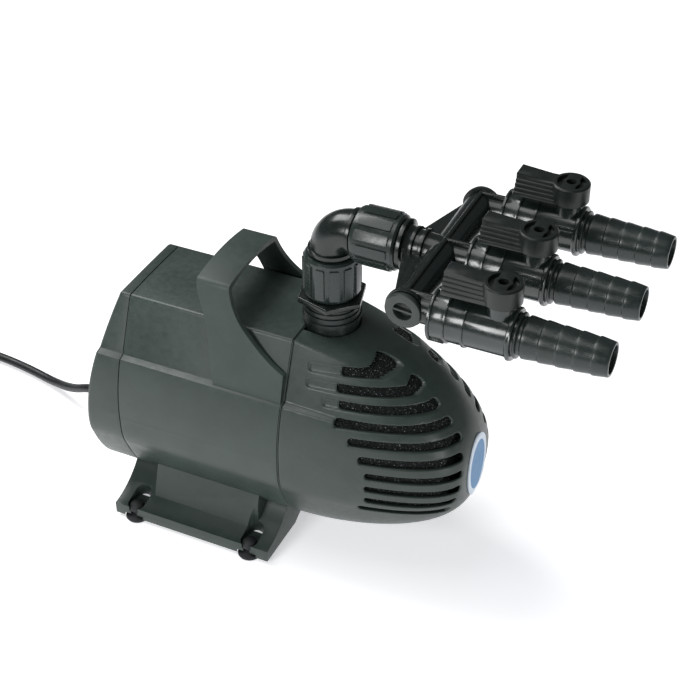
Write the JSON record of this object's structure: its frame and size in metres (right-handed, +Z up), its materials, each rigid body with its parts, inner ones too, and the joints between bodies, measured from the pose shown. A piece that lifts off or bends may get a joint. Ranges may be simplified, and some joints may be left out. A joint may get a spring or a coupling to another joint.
{
  "type": "fountain submersible pump",
  "caption": "Submersible fountain pump with a ribbed strainer cage, carry handle, saddle base, swivel elbow and a valved hose header on a power cord.",
  "frame": {"origin": "centre of the pump's footprint box on the surface it stands on, the cord left out", "axes": "+X from the motor to the nose and the hose tails, +Z up"},
  "size_m": [0.6789, 0.1783, 0.2923],
  "materials": {
    "body_plastic": "satin moulded, fine grain",
    "cage_plastic": "satin moulded",
    "handle_plastic": "dry matte moulded",
    "chamber_plastic": "satin",
    "fitting_plastic": "semi-gloss moulded",
    "nut_plastic": "semi-gloss moulded",
    "valve_plastic": "gloss",
    "lever_plastic": "satin",
    "tail_plastic": "satin",
    "plug_cap_plastic": "satin",
    "inner_plastic": "moulded",
    "badge": "gloss disc with pale rim",
    "foam": "open-cell foam",
    "seal_rubber": "soft",
    "foot_rubber": "soft, dull",
    "cord_jacket": "smooth cable jacket",
    "tie_plastic": "ribbed",
    "steel": "stainless",
    "core_steel": "laminated",
    "copper": "enamelled winding",
    "resin": "cast",
    "ceramic": "polished",
    "ferrite": "ground",
    "brass": "polished"
  },
  "bodies": {
    "pump": {"rear_cap": "body_plastic", "motor_housing": "body_plastic", "cap_screws": "steel", "cap_gasket": "seal_rubber", "carry_handle": "handle_plastic", "base_plate": "body_plastic", "rubber_feet": "foot_rubber", "stator_core": "core_steel", "stator_coils": "copper", "resin_fill": "resin", "rotor_can": "inner_plastic", "rear_bush": "seal_rubber", "front_bush": "seal_rubber", "rotor_shaft": "ceramic", "pump_chamber": "chamber_plastic", "chamber_cover": "chamber_plastic", "chamber_screws": "steel", "chamber_seal": "seal_rubber", "hex_adapter": "fitting_plastic", "cable_gland": "fitting_plastic", "strain_relief": "cord_jacket", "cord_lead": "cord_jacket", "cord_tail": "cord_jacket", "cord_coil": "cord_jacket", "cord_tie": "tie_plastic", "plug_body": "cord_jacket", "plug_pins": "brass"},
    "cage": {"strainer_cage": "cage_plastic", "nose_badge": "badge", "prefilter_foam": "foam"},
    "rotor": {"magnet_rotor": "ferrite", "impeller": "inner_plastic"},
    "lower_nut": {"lower_union_nut": "nut_plastic"},
    "elbow": {"elbow": "fitting_plastic", "lower_union_seal": "seal_rubber"},
    "upper_nut": {"upper_union_nut": "nut_plastic"},
    "header": {"manifold": "fitting_plastic", "upper_union_seal": "seal_rubber", "end_plugs": "plug_cap_plastic", "end_plug_seals": "seal_rubber", "valve_seats": "seal_rubber", "valve_body_near": "valve_plastic", "valve_body_middle": "valve_plastic", "valve_body_far": "valve_plastic", "hose_tail_near": "tail_plastic", "hose_tail_middle": "tail_plastic", "hose_tail_far": "tail_plastic"},
    "valve_near": {"valve_ball_near": "inner_plastic", "valve_lever_near": "lever_plastic"},
    "valve_middle": {"valve_ball_middle": "inner_plastic", "valve_lever_middle": "lever_plastic"},
    "valve_far": {"valve_ball_far": "inner_plastic", "valve_lever_far": "lever_plastic"}
  },
  "joints": [
    {"name": "cage_pull", "type": "slide", "parent": "pump", "child": "cage", "axis": [1, 0, 0], "range_m": [0, 0.13]},
    {"name": "rotor_spin", "type": "hinge", "parent": "pump", "child": "rotor", "pos_m": [-0.0338, 0, 0.0937], "axis": [1, 0, 0], "continuous": true},
    {"name": "elbow_swivel", "type": "hinge", "parent": "pump", "child": "elbow", "pos_m": [-0.021, 0, 0.23], "axis": [0, 0, 1], "range_deg": [-180, 180]},
    {"name": "lower_nut_turn", "type": "hinge", "parent": "elbow", "child": "lower_nut", "pos_m": [-0.021, 0, 0.22], "axis": [0, 0, 1], "continuous": true},
    {"name": "header_roll", "type": "hinge", "parent": "elbow", "child": "header", "pos_m": [0.0262, 0, 0.2557], "axis": [1, 0, 0], "range_deg": [-15, 15]},
    {"name": "upper_nut_turn", "type": "hinge", "parent": "elbow", "child": "upper_nut", "pos_m": [0.0162, 0, 0.2557], "axis": [1, 0, 0], "continuous": true},
    {"name": "valve_turn_near", "type": "hinge", "parent": "header", "child": "valve_near", "pos_m": [0.1211, -0.0625, 0.28], "axis": [0, 0, 1], "range_deg": [-90, 0]},
    {"name": "valve_turn_middle", "type": "hinge", "parent": "header", "child": "valve_middle", "pos_m": [0.1211, 0, 0.28], "axis": [0, 0, 1], "range_deg": [-90, 0]},
    {"name": "valve_turn_far", "type": "hinge", "parent": "header", "child": "valve_far", "pos_m": [0.1211, 0.0625, 0.28], "axis": [0, 0, 1], "range_deg": [-90, 0]}
  ]
}
